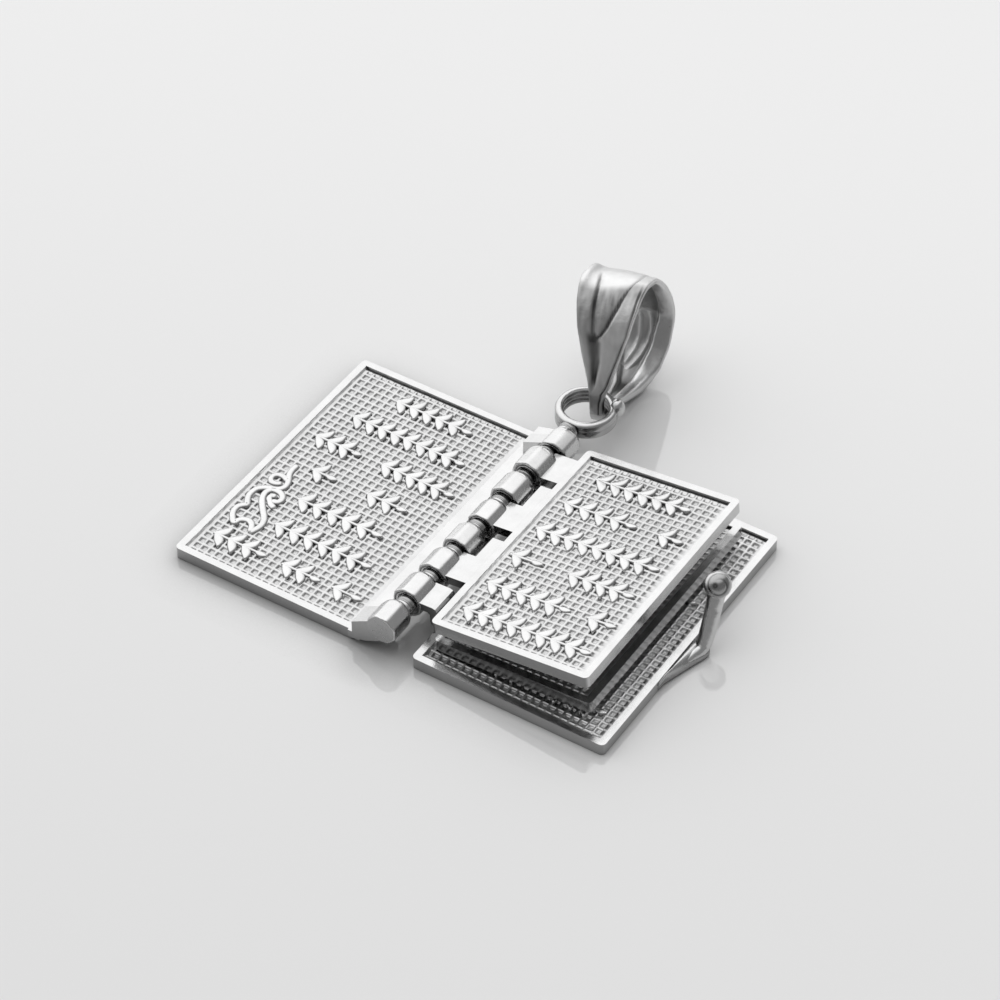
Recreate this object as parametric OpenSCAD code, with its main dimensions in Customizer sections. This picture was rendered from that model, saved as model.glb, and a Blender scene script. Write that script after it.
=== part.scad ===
// Hinged book pendant lying open: two covers, two loose leaves on one pin,
// a wire hook latch, and a folded bail hung on a ring at the pin's far end.
// Origin: centre of the back cover's flat underside, on the table.
// +Y runs along the spine, +Z is up, the front cover lies towards -X.

/* [Covers] */
// Width of each cover, spine edge to free edge
cover_w = 12.3; // [12:0.1:12.8]
// Length of each cover along the spine
cover_h = 19.0; // [18.6:0.1:19.2]
// Thickness of each cover
cover_t = 0.77; // [0.7:0.01:0.8]
// Width of the raised rim round each recessed field
rim_w = 0.43; // [0.35:0.01:0.5]
// Depth of the recessed fields
field_d = 0.28; // [0.15:0.01:0.3]

/* [Leaves] */
// Width of each leaf, from its spine edge to its free edge
leaf_w = 10.05; // [9.5:0.05:10.2]
// Length of each leaf along the spine
leaf_h = 16.4; // [16:0.1:16.6]
// Thickness of each leaf
leaf_t = 0.72; // [0.6:0.01:0.74]
// Tilt at which the upper leaf rests, degrees
upper_tilt = 6.4; // [6.2:0.1:7]
// Tilt at which the lower leaf rests, degrees
lower_tilt = 3.4; // [3.2:0.1:3.8]

/* [Hinge] */
// Height of the hinge axis above the table
axis_z = 2.05; // [2:0.01:2.1]
// Radius of the pin
pin_r = 0.35; // [0.3:0.01:0.38]
// Outer radius of the covers' and the lower leaf's knuckles
knuckle_r = 0.95; // [0.92:0.01:1]
// Outer radius of the upper leaf's knuckles
leaf_knuckle_r = 0.95; // [0.92:0.01:1]
// Gap between neighbouring knuckles
knuckle_gap = 0.16; // [0.1:0.01:0.2]

/* [Latch, ring and bail] */
// Radius of the latch wire
hook_r = 0.37; // [0.32:0.01:0.38]
// Outer radius of the ring
ring_r = 1.83; // [1.8:0.01:1.85]
// Thickness of the ring's wall
ring_wall = 0.48; // [0.4:0.01:0.5]
// Height of the ring
ring_h = 1.0; // [0.88:0.02:1.02]
// Width of the bail at its top
bail_w = 4.0; // [3.8:0.1:4.2]
// Thickness of the bail's sheet
bail_t = 0.42; // [0.34:0.02:0.44]

/* [Hidden] */
silver = [0.80, 0.80, 0.79];
front_x = 2.01;                     // hinge axis to the front cover's edge
back_x = 1.71;                      // hinge axis to the back cover's edge
hinge_x = -(back_x + cover_w / 2);  // hinge axis in the row frame
pitch = 2.4;                        // knuckle spacing along the pin
k_start = -4 * pitch;               // near end of the row of knuckles
run = 0.05;                         // radial running clearance on the pin
skew = 0.020;                       // the knuckles' outsides stray from the pin's line
lift = [-0.10, -0.09, -0.08, -0.06, -0.12, 0, 0.05, -0.10];    // and from its height
ease = [0.12, -0.06, 0, 0.06, 0.04, -0.05, -0.06, 0.10];       // how early each far end rounds over
neck_r = 0.60;                      // bare neck at each knuckle's far end
leaf_x = 2.18;                      // hinge axis to each leaf's spine edge
upper_top = 0.335;                  // upper leaf's top face above the axis
lower_top = -0.83;                  // lower leaf's top face from the axis
spine_rim = 0.40;                   // front cover's rim on the spine side
corner_r = 0.3;
fine = 48;

// everything below is drawn with the hinge axis over x = 0, then moved
module place() translate([hinge_x, 0, 0]) children();
module about_axis(tilt) translate([0, 0, axis_z]) rotate([0, -tilt, 0]) children();

// a solid whose section is drawn in x and z, running from y0 to y1
module along_y(y0, y1) translate([0, y1, 0]) rotate([90, 0, 0])
    linear_extrude(y1 - y0) children();

module round_rect(x0, x1, y0, y1, r) {
    translate([x0 + r, y0]) square([x1 - x0 - 2 * r, y1 - y0]);
    translate([x0, y0 + r]) square([x1 - x0, y1 - y0 - 2 * r]);
    for (x = [x0 + r, x1 - r], y = [y0 + r, y1 - r])
        translate([x, y]) circle(r, $fn = 24);
}

// flat plate with a raised rim round a recessed field; inner = rim width on
// the spine side
module framed_plate(x0, x1, h, z0, t, inner, spine_left) {
    difference() {
        translate([0, 0, z0]) linear_extrude(t)
            round_rect(x0, x1, -h / 2, h / 2, corner_r);
        translate([x0 + (spine_left ? inner : rim_w), -h / 2 + rim_w, z0 + t - field_d])
            cube([x1 - x0 - rim_w - inner, h - 2 * rim_w, field_d + 1]);
    }
}

function k0(k) = k_start + (k - 1) * pitch + knuckle_gap / 2 - (k == 1 ? 0.1 : 0);
function k1(k) = k_start + k * pitch - knuckle_gap / 2;
function off(k) = k == 8 ? 0.26 : k == 7 ? 0.08 : skew * (k0(k) + k1(k)) / 2;

// barrel of knuckle k: a stout bar with eight soft flats, its near end
// barely eased, its far end rounded down to a short neck
module barrel(k, r, turn) {
    len = k1(k) - k0(k);
    e = len - ease[k - 1];
    translate([off(k), k0(k), lift[k - 1]]) rotate([-90, 0, 0]) intersection() {
        rotate_extrude($fn = fine)
            polygon([[0, 0], [r - 0.06, 0], [r, 0.06], [r, e - 0.85], [r - 0.04, e - 0.66],
                     [r - 0.12, e - 0.50], [r - 0.24, e - 0.38], [r - 0.36, e - 0.31], [0, e - 0.31]]);
        rotate([0, 0, turn]) translate([0, 0, -1]) cylinder(r = r * 1.015, h = len + 2, $fn = 8);
    }
    translate([0, k0(k) + 0.5, 0]) rotate([-90, 0, 0]) cylinder(r = neck_r, h = len - 0.5, $fn = fine);
}

module pin_bore(y0, y1) translate([0, y0, 0]) rotate([-90, 0, 0])
    cylinder(r = pin_r + run, h = y1 - y0, $fn = fine);

// front cover: end knuckles 1 and 8 on chunky ramped blocks; knuckle 1 is
// closed at its near end, so the pin is hidden there
module cover_arm(k) {
    s = off(k);
    e = -front_x - 0.11 + 0.3 * (s + 0.17);
    foot = [[-0.45, -1.12], [-1.31, -1.55], [-1.62, -1.60], [-1.62, -1.75], [-front_x - spine_rim, -axis_z + 0.30],
            [-front_x - spine_rim, -axis_z + cover_t], [e, -axis_z + cover_t]];
    along_y(k0(k) + (k == 8 ? 0.45 : 0), k1(k) - 0.95)
        polygon(concat(foot, [[e, -0.50], [s - 0.79, 0.16], [s - 0.40, 0.40], [s + 0.30, 0.30], [s + 0.66, -0.50]]));
    along_y(k1(k) - 0.96, k1(k) - (k == 1 ? 0.35 : 0.1))
        polygon(concat(foot, [[e, -0.60], [s - 0.56, -0.10], [s - 0.20, -0.40]]));
}
module front_cover() color(silver) place() difference() {
    union() {
        framed_plate(-front_x - cover_w, -front_x, cover_h, 0, cover_t, spine_rim, false);
        // spine-side shelf the leaves' knuckles turn over
        translate([-front_x - spine_rim, -cover_h / 2 + corner_r, 0.16])
            cube([0.85, cover_h - 2 * corner_r, cover_t - 0.16]);
        translate([0, 0, axis_z]) {
            barrel(1, knuckle_r - 0.01, 22); barrel(8, knuckle_r + 0.03, 4);
            cover_arm(1); cover_arm(8);
        }
    }
    translate([0, 0, axis_z]) pin_bore(k0(1) + 0.55, k1(8) + 1);
}

// back cover: middle knuckle 4 on a slanted arm, and the wire hook latch
module rod(p, q, r) {
    d = q - p;
    translate(p) rotate([0, acos(d[2] / norm(d)), atan2(d[1], d[0])])
        cylinder(r = r, h = norm(d), $fn = 24);
}
free_x = back_x + cover_w;
hook_path = [[free_x + 0.60, -0.12, 0.46], [free_x + 0.60, 0.22, 0.95], [free_x + 0.56, 0.70, 1.75],
             [free_x + 0.46, 1.32, 2.80], [free_x + 0.38, 1.72, 3.45]];
module hook_latch() {
    for (i = [0 : len(hook_path) - 2]) rod(hook_path[i], hook_path[i + 1], hook_r);
    for (i = [0 : len(hook_path) - 2]) translate(hook_path[i]) sphere(hook_r + 0.01, $fn = 24);
    // catch at the tip
    translate([free_x + 0.33, 1.80, 3.62]) sphere(0.66, $fn = 32);
    // tongue the wire rises from, splaying out from the cover's edge with a
    // sloping outer side
    translate([free_x, 0, 0]) hull() {
        translate([0, 0, 0.09]) linear_extrude(0.22)
            polygon([[-0.1, -3.2], [0.04, -3.2], [0.66, -1.15], [0.92, -0.40], [0.98, -0.10],
                     [0.90, 0.14], [0.74, 0.24], [0.40, 0.20], [-0.1, -0.30]]);
        translate([0, 0, 0.60]) linear_extrude(0.13)
            polygon([[-0.1, -3.2], [0.0, -3.1], [0.24, -1.4], [0.40, -0.35], [0.34, -0.12], [-0.1, -0.30]]);
    }
}
module back_cover() color(silver) place() difference() {
    union() {
        framed_plate(back_x, back_x + cover_w, cover_h, 0, cover_t, rim_w, true);
        translate([0, 0, axis_z]) {
            barrel(4, knuckle_r, 38);
            along_y(k0(4), k1(4))
                polygon([[0.3, -0.55], [0.80, -0.48], [back_x + 0.1, -axis_z + cover_t],
                         [back_x + rim_w, -axis_z + cover_t], [back_x + rim_w, -axis_z + 0.3],
                         [back_x, -axis_z + 0.12], [0.35, -0.86]]);
        }
        hook_latch();
    }
    translate([0, 0, axis_z]) pin_bore(k0(4) - 1, k1(4) + 1);
}

// lower leaf: knuckle 2 on a swan-necked tab that rises beside the upper
// leaf, knuckle 6 on a low slanted arm
module leaf_lower() color(silver) place() about_axis(lower_tilt) difference() {
    union() {
        framed_plate(leaf_x + 0.1, leaf_x + 0.1 + leaf_w, leaf_h, lower_top - leaf_t, leaf_t, rim_w, true);
        barrel(2, knuckle_r, 34); barrel(6, knuckle_r + 0.03, 38);
        along_y(k0(2), -5.3)
            polygon([[0, 0.30], [1.55, 0.30], [1.74, 0.24], [1.85, 0.06], [1.85, -0.80], [1.95, lower_top],
                     [2.6, lower_top], [2.6, lower_top - 0.42], [1.7, lower_top - 0.42], [1.42, -1.0],
                     [1.36, -0.84], [1.36, -0.30], [1.22, -0.18], [0, -0.18]]);
        along_y(k0(6), k1(6))
            polygon([[0.25, -0.6], [0.95, -0.55], [2.1, lower_top], [2.6, lower_top],
                     [2.6, lower_top - 0.42], [1.8, lower_top - 0.42], [0.35, -0.92]]);
    }
    pin_bore(k0(2) - 1, k1(2) + 1);
    pin_bore(k0(6) - 1, k1(6) + 1);
}

// upper leaf: three broad tabs level with its plate, each reaching one
// barrel; the first two also pass beside a neighbour's barrel as far as y1
module upper_tab(k, y0, y1) {
    z0 = upper_top - leaf_t + 0.12; zt = upper_top - 0.05; end = k1(k) - 0.40;
    near_end = [[0, z0], [0, zt - 0.06], [0.2, zt], [leaf_x + 0.3, zt], [leaf_x + 0.3, z0]];
    beside_neck = [[0.40, z0], [0.40, zt - 0.16], [0.62, zt], [leaf_x + 0.3, zt], [leaf_x + 0.3, z0]];
    beside = [[1.30, z0], [1.30, zt - 0.12], [1.42, zt], [leaf_x + 0.3, zt], [leaf_x + 0.3, z0]];
    along_y(y0, end) polygon(near_end);
    along_y(end - 0.01, min(y1, k1(k))) polygon(beside_neck);
    if (y1 > k1(k)) along_y(k1(k) - 0.01, y1) polygon(beside);
}
module leaf_upper() color(silver) place() about_axis(upper_tilt) difference() {
    union() {
        framed_plate(leaf_x, leaf_x + leaf_w, leaf_h, upper_top - leaf_t, leaf_t, rim_w, true);
        barrel(3, leaf_knuckle_r, 36); barrel(5, leaf_knuckle_r - 0.03, 33); barrel(7, leaf_knuckle_r + 0.06, 2);
        upper_tab(3, k0(3) + 0.12, -0.72); upper_tab(5, k0(5) + 0.12, 4.3); upper_tab(7, k0(7) + 0.02, k1(7));
    }
    for (k = [3, 5, 7]) pin_bore(k0(k) - 1, k1(k) + 1);
}

// pin through every knuckle, with the flat-walled ring soldered to its far end
ring_y = k_start + 8 * pitch + ring_r;
module pin_with_ring() color(silver) place() union() {
    translate([0, k0(1) + 0.62, axis_z]) rotate([-90, 0, 0])
        cylinder(r = pin_r, h = ring_y - ring_r + ring_wall * 0.6 - k0(1) - 0.62, $fn = fine);
    translate([0, ring_y, axis_z - 0.03]) {
        rotate_extrude($fn = 64) polygon([
            [ring_r - ring_wall, -ring_h / 2 + 0.08], [ring_r - ring_wall + 0.08, -ring_h / 2],
            [ring_r - 0.08, -ring_h / 2], [ring_r, -ring_h / 2 + 0.08], [ring_r, ring_h / 2 - 0.12],
            [ring_r - 0.12, ring_h / 2], [ring_r - ring_wall + 0.08, ring_h / 2],
            [ring_r - ring_wall, ring_h / 2 - 0.08]]);
        // solder bead on the ring
        rotate([0, 0, 33]) translate([ring_r - 0.03, 0, 0.16]) sphere(0.40, $fn = 24);
    }
}

// bail: a folded band; profile is its side view (distance back, height) from
// the ring's far wall, taper its left and right edges along its length
bail_o = [0.17, 12.82, 2.02];
bail_side = [[-1.04, -0.35], [-0.88, -0.84], [-0.45, -1.08], [0.5, -1.14], [1.7, -1.46], [3.2, -1.86],
             [4.2, -1.68], [5.1, -1.12], [6.0, -0.4], [6.6, 0.5], [6.98, 1.25], [7.05, 2.0],
             [6.68, 3.25], [5.85, 4.7], [4.75, 5.95], [3.95, 6.42], [2.9, 6.72], [1.9, 6.5],
             [0.95, 5.75], [0.28, 4.75], [-0.14, 3.6], [-0.50, 2.5], [-0.80, 1.4], [-0.98, 0.5]];
bail_taper = [[-0.36, 0.44, -2], [-0.36, 0.48, 0], [-0.44, 0.80, 0.55], [-0.62, 1.02, 1.15],
              [-0.92, 1.30, 1.9], [-1.42, 1.74, 3.2], [-1.78, 1.95, 4.8], [-bail_w / 2, bail_w / 2, 6.2],
              [-bail_w / 2, bail_w / 2, 10]];
bail_lean = 38;      // lean of the bail's long axis above the table, degrees
function inset(p, t) = let (n = len(p)) [for (i = [0 : n - 1])
    let (d = p[(i + 1) % n] - p[(i + n - 1) % n]) p[i] + t * [-d[1], d[0]] / norm(d)];
module bail() color(silver) place() translate(bail_o) rotate([0, 0, 9.5]) rotate([0, -4, 0])
    intersection() {
        rotate([90, 0, 90]) translate([0, 0, -bail_w / 2]) linear_extrude(bail_w)
            difference() { polygon(bail_side); polygon(inset(bail_side, bail_t)); }
        rotate([bail_lean, 0, 0]) translate([0, 0, -12]) linear_extrude(24)
            polygon(concat([for (t = bail_taper) [t[1], t[2]]],
                           [for (i = [len(bail_taper) - 1 : -1 : 0]) [bail_taper[i][0], bail_taper[i][2]]]));
    }

front_cover();
back_cover();
leaf_lower();
leaf_upper();
pin_with_ring();
bail();
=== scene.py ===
import math
import random

import bmesh
import bpy
from mathutils import Euler, Matrix, Vector, noise


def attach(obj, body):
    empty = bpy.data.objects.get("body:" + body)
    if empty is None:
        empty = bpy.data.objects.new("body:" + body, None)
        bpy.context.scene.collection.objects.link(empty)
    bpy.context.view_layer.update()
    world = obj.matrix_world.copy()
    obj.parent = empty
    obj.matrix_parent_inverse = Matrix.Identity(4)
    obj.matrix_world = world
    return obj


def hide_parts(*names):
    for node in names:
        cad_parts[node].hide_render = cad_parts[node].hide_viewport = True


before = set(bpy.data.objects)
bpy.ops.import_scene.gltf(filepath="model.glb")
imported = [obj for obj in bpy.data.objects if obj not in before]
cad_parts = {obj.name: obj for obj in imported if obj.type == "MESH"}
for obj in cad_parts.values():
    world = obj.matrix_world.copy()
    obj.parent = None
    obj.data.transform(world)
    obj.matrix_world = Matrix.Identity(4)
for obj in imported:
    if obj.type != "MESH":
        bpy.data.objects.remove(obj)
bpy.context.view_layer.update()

MM = 0.001

# ---------------------------------------------------------------- main sizes, mm, as in the construction
MID_X = -8.01                    # midway between the covers' spine edges, in the row frame
AX_X, AX_Z = 0.15, 2.05          # hinge axis from there, and above the table
COVER_T, RIM, FIELD_D = 0.77, 0.43, 0.28
UP_TILT, LOW_TILT, UP_TOP, LOW_TOP = 6.4, 3.4, 0.335, -0.83


def H(x, y, z):
    """mm, x from midway between the covers, to the row frame in m"""
    return Vector(((x + MID_X) * MM, y * MM, z * MM))


def leaf_map(tilt):
    c, s = math.cos(math.radians(tilt)), math.sin(math.radians(tilt))

    def f(x, y, z):
        x -= AX_X
        return H(AX_X + x * c - z * s, y, AX_Z + x * s + z * c)
    return f


FLAT = H
UPPER = leaf_map(UP_TILT)
LOWER = leaf_map(LOW_TILT)


# ---------------------------------------------------------------- mesh helpers
def new_object(name, verts, faces, mat, body, smooth=True, painted_shade=None):
    me = bpy.data.meshes.new(name)
    me.from_pydata([tuple(v) for v in verts], [], faces)
    # per-point painted shade for the material, 0 none to 1 darkest
    if painted_shade:
        at = me.attributes.new("painted_shade", "FLOAT", "POINT")
        at.data.foreach_set("value", painted_shade)
    bm = bmesh.new()
    bm.from_mesh(me)
    bmesh.ops.recalc_face_normals(bm, faces=bm.faces)
    bm.to_mesh(me)
    bm.free()
    if smooth:
        me.polygons.foreach_set("use_smooth", [True] * len(me.polygons))
    me.materials.append(mat)
    ob = bpy.data.objects.new(name, me)
    bpy.context.scene.collection.objects.link(ob)
    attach(ob, body)
    return ob


def catmull(points, per=6, closed=False):
    """smooth curve through points of any dimension"""
    n = len(points)
    out = []
    segs = n if closed else n - 1
    for i in range(segs):
        if closed:
            p0, p1, p2, p3 = (points[(i + k) % n] for k in (-1, 0, 1, 2))
        else:
            p1, p2 = points[i], points[i + 1]
            p0 = points[i - 1] if i > 0 else [2 * a - b for a, b in zip(p1, p2)]
            p3 = points[i + 2] if i + 2 < n else [2 * b - a for a, b in zip(p1, p2)]
        for j in range(per):
            t = j / per
            out.append([0.5 * (2 * b + (c - a) * t + (2 * a - 5 * b + 4 * c - d) * t * t
                               + (3 * b - a - 3 * c + d) * t ** 3)
                        for a, b, c, d in zip(p0, p1, p2, p3)])
    if not closed:
        out.append(list(points[-1]))
    return out


def step(a, b, v):
    t = min(max((v - a) / (b - a), 0.0), 1.0)
    return t * t * (3 - 2 * t)


def lerp_table(v, rows, col=1):
    """piecewise linear lookup; rows are sorted by their first value"""
    if v <= rows[0][0]:
        return rows[0][col]
    for a, b in zip(rows, rows[1:]):
        if v <= b[0]:
            return a[col] + (b[col] - a[col]) * (v - a[0]) / (b[0] - a[0])
    return rows[-1][col]


# ---------------------------------------------------------------- materials
def node(nt, kind, **values):
    n = nt.nodes.new(kind)
    for key, val in values.items():
        if key in n.inputs:
            n.inputs[key].default_value = val
        else:
            setattr(n, key, val)
    return n


def ramp(nt, stops):
    n = nt.nodes.new("ShaderNodeValToRGB")
    el = n.color_ramp.elements
    el[0].position, el[0].color = stops[0][0], (*[stops[0][1]] * 3, 1)
    el[1].position, el[1].color = stops[-1][0], (*[stops[-1][1]] * 3, 1)
    for pos, val in stops[1:-1]:
        e = el.new(pos)
        e.color = (val, val, val, 1)
    return n


def silver(name, bright, dark, ao_mm, rough, rough_var, grain, bump, ends=1.0, sides=1.0, beyond=0.0):
    """cast silver: painted shade darkens the crevices (ambient occlusion in the base colour) and the walls by the way
    they face, with fine casting grain, soft polishing marks and a roughness that wanders"""
    mat = bpy.data.materials.new(name)
    mat.use_nodes = True
    nt = mat.node_tree
    nt.nodes.clear()
    out = nt.nodes.new("ShaderNodeOutputMaterial")
    bsdf = nt.nodes.new("ShaderNodeBsdfPrincipled")
    nt.links.new(bsdf.outputs["BSDF"], out.inputs["Surface"])
    bsdf.inputs["Metallic"].default_value = 1.0
    geo = nt.nodes.new("ShaderNodeNewGeometry")
    tc = nt.nodes.new("ShaderNodeTexCoord")
    # painted shade in the crevices: the base colour darkens with ambient occlusion
    ao = node(nt, "ShaderNodeAmbientOcclusion", samples=6)
    ao.inputs["Distance"].default_value = ao_mm * MM
    ao_r = ramp(nt, [(0.0, dark), (0.45, dark + (bright - dark) * 0.45), (0.9, bright), (1.0, bright)])
    nt.links.new(ao.outputs["AO"], ao_r.inputs["Fac"])
    # broad tone variation
    n1 = node(nt, "ShaderNodeTexNoise", Scale=900.0, Detail=4.0, Roughness=0.6)
    nt.links.new(tc.outputs["Object"], n1.inputs["Vector"])
    v1 = ramp(nt, [(0.25, 0.90), (0.75, 1.0)])
    nt.links.new(n1.outputs["Fac"], v1.inputs["Fac"])
    mul = nt.nodes.new("ShaderNodeMix")
    mul.data_type, mul.blend_type = "RGBA", "MULTIPLY"
    mul.inputs["Factor"].default_value = 1.0
    nt.links.new(ao_r.outputs["Color"], mul.inputs["A"])
    nt.links.new(v1.outputs["Color"], mul.inputs["B"])
    # painted shade and highlights carried by the mesh as a per-point value, broken up by the noise
    ta = nt.nodes.new("ShaderNodeAttribute")
    ta.attribute_name = "painted_shade"
    tm = nt.nodes.new("ShaderNodeMapRange")
    tm.inputs["From Min"].default_value = 0.0
    tm.inputs["From Max"].default_value = 1.0
    tm.inputs["To Min"].default_value = 1.0
    tm.inputs["To Max"].default_value = 0.12
    nt.links.new(ta.outputs["Fac"], tm.inputs["Value"])
    mul2 = nt.nodes.new("ShaderNodeMix")
    mul2.data_type, mul2.blend_type = "RGBA", "MULTIPLY"
    mul2.inputs["Factor"].default_value = 1.0
    nt.links.new(mul.outputs["Result"], mul2.inputs["A"])
    nt.links.new(tm.outputs["Result"], mul2.inputs["B"])
    # painted shade on the walls: faces turned along Y (ends) or X (sides) get a darker base colour than the frames'
    # tops
    sep = nt.nodes.new("ShaderNodeSeparateXYZ")
    nt.links.new(tc.outputs["Normal"], sep.inputs["Vector"])
    tone = mul2
    for along, lowest in (("Y", ends), ("X", sides)):
        if lowest == 1.0:
            continue
        ab = node(nt, "ShaderNodeMath", operation="ABSOLUTE")
        nt.links.new(sep.outputs[along], ab.inputs[0])
        face = ab
        if along == "Y" and beyond:
            # only the outermost walls, not the faces between the knuckles
            at = nt.nodes.new("ShaderNodeSeparateXYZ")
            nt.links.new(tc.outputs["Object"], at.inputs["Vector"])
            far = node(nt, "ShaderNodeMath", operation="ABSOLUTE")
            nt.links.new(at.outputs["Y"], far.inputs[0])
            out_there = node(nt, "ShaderNodeMath", operation="GREATER_THAN")
            out_there.inputs[1].default_value = beyond * MM
            nt.links.new(far.outputs[0], out_there.inputs[0])
            face = node(nt, "ShaderNodeMath", operation="MULTIPLY")
            nt.links.new(ab.outputs[0], face.inputs[0])
            nt.links.new(out_there.outputs[0], face.inputs[1])
        wl = nt.nodes.new("ShaderNodeMapRange")
        wl.interpolation_type = "SMOOTHSTEP"
        for key, val in (("From Min", 0.35), ("From Max", 0.95), ("To Min", 1.0), ("To Max", lowest)):
            wl.inputs[key].default_value = val
        nt.links.new(face.outputs[0], wl.inputs["Value"])
        mul3 = nt.nodes.new("ShaderNodeMix")
        mul3.data_type, mul3.blend_type = "RGBA", "MULTIPLY"
        mul3.inputs["Factor"].default_value = 1.0
        nt.links.new(tone.outputs["Result"], mul3.inputs["A"])
        nt.links.new(wl.outputs["Result"], mul3.inputs["B"])
        tone = mul3
    nt.links.new(tone.outputs["Result"], bsdf.inputs["Base Color"])
    # roughness
    n2 = node(nt, "ShaderNodeTexNoise", Scale=2600.0, Detail=5.0, Roughness=0.65)
    nt.links.new(tc.outputs["Object"], n2.inputs["Vector"])
    r2 = nt.nodes.new("ShaderNodeMapRange")
    r2.inputs["From Min"].default_value = 0.3
    r2.inputs["From Max"].default_value = 0.7
    r2.inputs["To Min"].default_value = rough - rough_var
    r2.inputs["To Max"].default_value = rough + rough_var
    nt.links.new(n2.outputs["Fac"], r2.inputs["Value"])
    nt.links.new(r2.outputs["Result"], bsdf.inputs["Roughness"])
    # casting grain and soft dents
    n3 = node(nt, "ShaderNodeTexNoise", Scale=grain, Detail=6.0, Roughness=0.7)
    nt.links.new(tc.outputs["Object"], n3.inputs["Vector"])
    b1 = nt.nodes.new("ShaderNodeBump")
    b1.inputs["Strength"].default_value = bump
    b1.inputs["Distance"].default_value = 0.00003
    nt.links.new(n3.outputs["Fac"], b1.inputs["Height"])
    n4 = node(nt, "ShaderNodeTexNoise", Scale=700.0, Detail=2.0, Roughness=0.5)
    nt.links.new(tc.outputs["Object"], n4.inputs["Vector"])
    b2 = nt.nodes.new("ShaderNodeBump")
    b2.inputs["Strength"].default_value = bump
    b2.inputs["Distance"].default_value = 0.00012
    nt.links.new(n4.outputs["Fac"], b2.inputs["Height"])
    nt.links.new(b1.outputs["Normal"], b2.inputs["Normal"])
    nt.links.new(b2.outputs["Normal"], bsdf.inputs["Normal"])
    return mat


# M_CAST, M_LEAF and M_BACK are one silver that differ only in painted wall shade (ends, sides, beyond)
M_CAST = silver("silver_cast", 0.74, 0.46, 0.28, 0.17, 0.05, 9000.0, 0.10, ends=0.52, sides=0.90, beyond=8.6)
M_LEAF = silver("silver_cast_leaf", 0.74, 0.46, 0.28, 0.17, 0.05, 9000.0, 0.10, ends=0.36, sides=0.90)
M_BACK = silver("silver_cast_back", 0.74, 0.46, 0.28, 0.17, 0.05, 9000.0, 0.10, ends=0.46, sides=0.60)
M_KNUCKLE = silver("silver_knuckle", 0.76, 0.46, 0.35, 0.25, 0.06, 6500.0, 0.26, ends=0.85)
M_WIRE = silver("silver_wire_polished", 0.72, 0.12, 0.5, 0.22, 0.06, 6500.0, 0.28)
M_BAIL = silver("silver_bail", 0.84, 0.16, 0.9, 0.35, 0.08, 6500.0, 0.60)
M_GRID = silver("silver_field", 0.72, 0.50, 0.16, 0.37, 0.07, 9000.0, 0.30)
M_RELIEF = silver("silver_relief", 0.78, 0.40, 0.24, 0.28, 0.06, 9000.0, 0.16)

for name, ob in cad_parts.items():
    m = {"front_cover": M_CAST, "back_cover": M_BACK, "leaf_lower": M_LEAF, "leaf_upper": M_LEAF}.get(name, M_WIRE)
    if not ob.material_slots:
        ob.data.materials.append(m)
    for s in ob.material_slots:
        s.material = m


def soften(name, width, segs=3, angle=32):
    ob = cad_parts[name]
    b = ob.modifiers.new("eased_edges", "BEVEL")
    b.width = width * MM
    b.segments = segs
    b.limit_method = "ANGLE"
    b.angle_limit = math.radians(angle)
    b.harden_normals = False
    b.use_clamp_overlap = True
    return ob


for n_, w_ in (("front_cover", 0.07), ("back_cover", 0.07), ("leaf_lower", 0.11), ("leaf_upper", 0.06)):
    soften(n_, w_)


# ---------------------------------------------------------------- waffle fields
def cell_profile(u):
    """height over one cell, 0 on the pit's floor, 1 on the ridge; u runs -0.5..0.5 from the ridge"""
    a = abs(u)
    return 1.0 - step(0.14, 0.26, a)


LINES = (-0.32, -0.26, -0.20, -0.14, 0.0, 0.14, 0.20, 0.26, 0.32)      # vertex lines round each ridge, in pitches


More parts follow.
